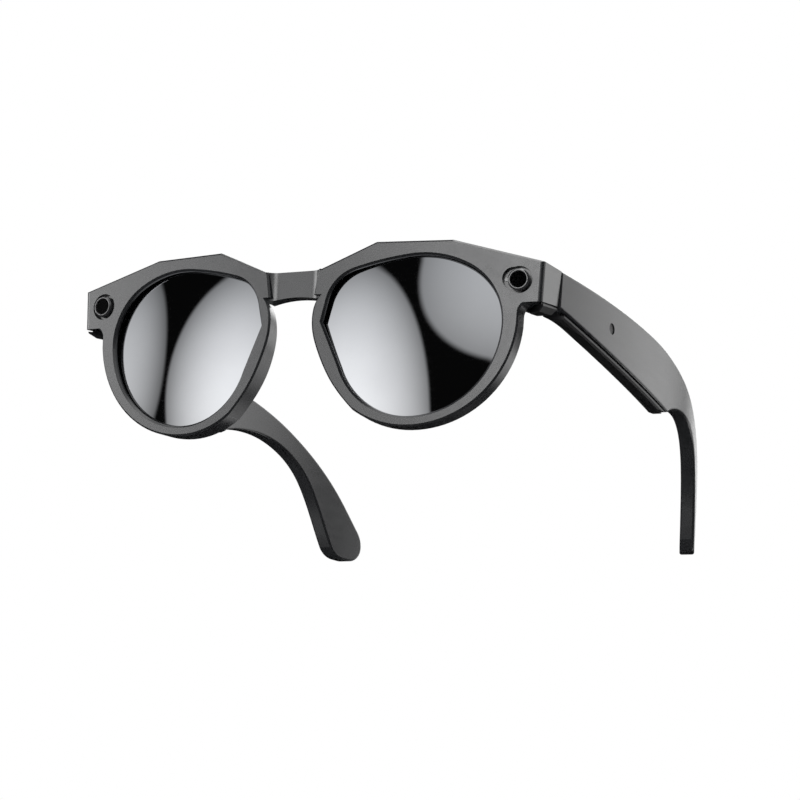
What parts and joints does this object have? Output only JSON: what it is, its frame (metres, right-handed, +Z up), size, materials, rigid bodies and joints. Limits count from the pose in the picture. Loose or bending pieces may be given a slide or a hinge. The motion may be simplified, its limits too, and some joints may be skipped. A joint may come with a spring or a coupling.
{
  "type": "smart glasses",
  "caption": "Smart glasses with a pantos front, mirrored lenses, corner cameras, folding wide temples with inner covers and curved ear hooks.",
  "frame": {"origin": "On the table under the middle of the overall length; the rims and the tips of the ear hooks rest at z = 0", "axes": "+X towards the wearer's left, +Y back along the temples, +Z up; the front faces -Y"},
  "size_m": [0.154, 0.1687, 0.0514],
  "materials": {
    "shell": "polished black injection-moulded plastic",
    "cover": "fine satin black plastic",
    "lens": "dark mirror-coated sun lens",
    "bezel": "gloss black ring",
    "dark_glass": "black cover glass",
    "black_metal": "black anodised",
    "circuit": "green solder mask",
    "light_pipe": "frosted light guide",
    "flex": "amber polyimide film",
    "contact": "gold-plated",
    "steel": "brushed stainless steel",
    "screw": "turned steel",
    "core": "spring steel strip",
    "grille": "black pierced metal",
    "battery": "foil pouch",
    "switch": "satin black plastic"
  },
  "bodies": {
    "front": {"brow_cover": "cover", "brow_flex": "flex", "camera_barrel_left": "black_metal", "camera_barrel_right": "black_metal", "camera_bezel_left": "bezel", "camera_bezel_right": "bezel", "camera_sensor_left": "circuit", "camera_sensor_right": "circuit", "camera_window_left": "dark_glass", "camera_window_right": "dark_glass", "capture_light": "light_pipe", "charge_contacts": "contact", "end_cover_left": "cover", "end_cover_right": "cover", "front_hinge_left": "steel", "front_hinge_right": "steel", "front_shell": "shell", "hinge_pin_left": "steel", "hinge_pin_right": "steel", "lens_left": "lens", "lens_right": "lens", "nose_pad_left": "shell", "nose_pad_right": "shell", "pod_cover_left": "cover", "pod_cover_right": "cover"},
    "temple_left": {"battery_left": "battery", "circuit_board_left": "circuit", "cover_screws_left": "screw", "hinge_screws_left": "screw", "hook_core_left": "core", "mic_mesh_left": "grille", "microphone_left": "contact", "speaker_grille_left": "grille", "speaker_left": "black_metal", "temple_cover_left": "cover", "temple_hinge_left": "steel", "temple_shell_left": "shell"},
    "temple_right": {"battery_right": "battery", "circuit_board_right": "circuit", "cover_screws_right": "screw", "hinge_screws_right": "screw", "hook_core_right": "core", "mic_mesh_right": "grille", "microphone_right": "contact", "speaker_grille_right": "grille", "speaker_right": "black_metal", "tact_switch_right": "contact", "temple_cover_right": "cover", "temple_hinge_right": "steel", "temple_shell_right": "shell", "touch_sensor_right": "flex"},
    "capture_button": {"capture_button_right": "shell"},
    "power_switch": {"power_switch_left": "switch"}
  },
  "joints": [
    {"name": "fold_left", "type": "hinge", "parent": "front", "child": "temple_left", "pos_m": [0.064, -0.06335, 0.04], "axis": [0, 0, 1], "range_deg": [0, 91]},
    {"name": "fold_right", "type": "hinge", "parent": "front", "child": "temple_right", "pos_m": [-0.064, -0.06335, 0.04], "axis": [0, 0, -1], "range_deg": [0, 79]},
    {"name": "button_press", "type": "slide", "parent": "temple_right", "child": "capture_button", "axis": [0, 0, -1], "range_m": [0, 0.0004], "stiffness_N_per_m": 3000, "springref_m": -0.0001},
    {"name": "switch_slide", "type": "slide", "parent": "temple_left", "child": "power_switch", "axis": [0.1329, 0.9911, 0], "range_m": [0, 0.002]}
  ]
}
